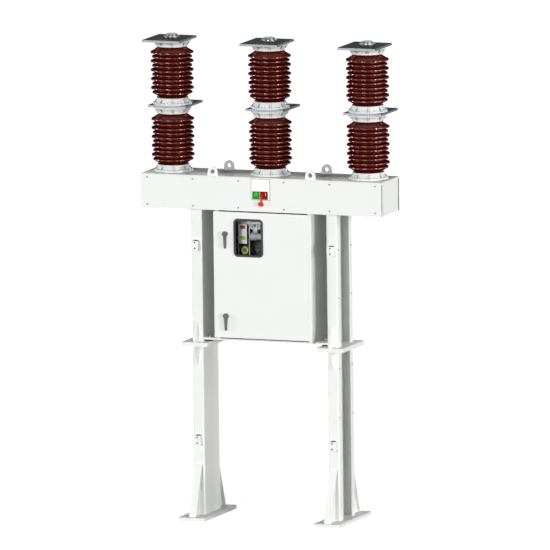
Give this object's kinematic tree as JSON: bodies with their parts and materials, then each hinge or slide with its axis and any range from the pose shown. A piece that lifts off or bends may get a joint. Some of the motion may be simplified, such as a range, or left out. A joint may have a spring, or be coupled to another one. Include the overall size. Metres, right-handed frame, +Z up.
{
  "type": "gas insulated circuit breaker",
  "caption": "Outdoor three-phase gas insulated breaker: ribbed porcelain poles on a long housing, over a two-legged steel stand with a mechanism cabinet.",
  "frame": {"origin": "on the ground, under the middle pole, midway between the legs", "axes": "+X along the row of poles, +Y to the rear with the cabinet door facing -Y, +Z up"},
  "size_m": [1.87, 0.67, 3.534],
  "materials": {
    "white_paint": "semi-gloss powder coat",
    "housing_top_paint": "glossy enamel",
    "porcelain": "brown glazed porcelain",
    "cast_aluminium": "cast and blasted",
    "terminal_aluminium": "machined",
    "zinc_steel": "zinc plated",
    "rubber": "matt",
    "glass": "clear",
    "handle_metal": "satin grey zinc casting",
    "plate_enamel": "white enamel",
    "pointer_red": "gloss red",
    "yellow_passivated": "yellow chromate zinc",
    "black_steel": "blackened",
    "motor_grey": "grey enamel"
  },
  "bodies": {
    "stand": {"base_plates": "white_paint", "cabinet_back": "white_paint", "cabinet_floor": "white_paint", "cabinet_rails": "white_paint", "cabinet_roof": "white_paint", "cabinet_walls": "white_paint", "cam_wheel": "yellow_passivated", "centre_flanges": "cast_aluminium", "centre_insulators": "porcelain", "centre_middle_terminal": "terminal_aluminium", "centre_top_terminal": "terminal_aluminium", "charging_motor": "motor_grey", "coil_spring": "black_steel", "earth_pads": "white_paint", "foot_gussets": "white_paint", "front_cover": "white_paint", "head_plates": "white_paint", "hinge_brackets": "zinc_steel", "housing_bottom": "white_paint", "housing_ends": "white_paint", "housing_top": "housing_top_paint", "indicator_plate": "plate_enamel", "label_panel": "plate_enamel", "left_flanges": "cast_aluminium", "left_insulators": "porcelain", "left_lower_leg": "white_paint", "left_middle_terminal": "terminal_aluminium", "left_top_terminal": "terminal_aluminium", "left_upper_leg": "white_paint", "lifting_eyes": "white_paint", "link_plate": "zinc_steel", "lower_splice_plates": "white_paint", "mechanism_frame": "zinc_steel", "rail_packings": "rubber", "rear_cover": "white_paint", "right_flanges": "cast_aluminium", "right_insulators": "porcelain", "right_lower_leg": "white_paint", "right_middle_terminal": "terminal_aluminium", "right_top_terminal": "terminal_aluminium", "right_upper_leg": "white_paint", "splice_gussets": "white_paint", "upper_splice_plates": "white_paint"},
    "door": {"cabinet_door": "white_paint", "window_gasket": "rubber", "window_glass": "glass", "handle_rosettes": "handle_metal"},
    "upper_handle": {"upper_handle": "handle_metal"},
    "lower_handle": {"lower_handle": "handle_metal"},
    "pointer": {"position_pointer": "pointer_red"}
  },
  "joints": [
    {"name": "door_hinge", "type": "hinge", "parent": "stand", "child": "door", "pos_m": [0.368, -0.186, 1.343], "axis": [0, 0, 1], "range_deg": [0, 120]},
    {"name": "upper_handle_turn", "type": "hinge", "parent": "door", "child": "upper_handle", "pos_m": [-0.286, -0.196, 2.108], "axis": [0, 1, 0], "range_deg": [0, 90]},
    {"name": "lower_handle_turn", "type": "hinge", "parent": "door", "child": "lower_handle", "pos_m": [-0.286, -0.196, 1.504], "axis": [0, 1, 0], "range_deg": [0, 90]},
    {"name": "pointer_turn", "type": "hinge", "parent": "stand", "child": "pointer", "pos_m": [0.002, -0.205, 2.339], "axis": [0, 1, 0], "range_deg": [-31, 15]}
  ]
}
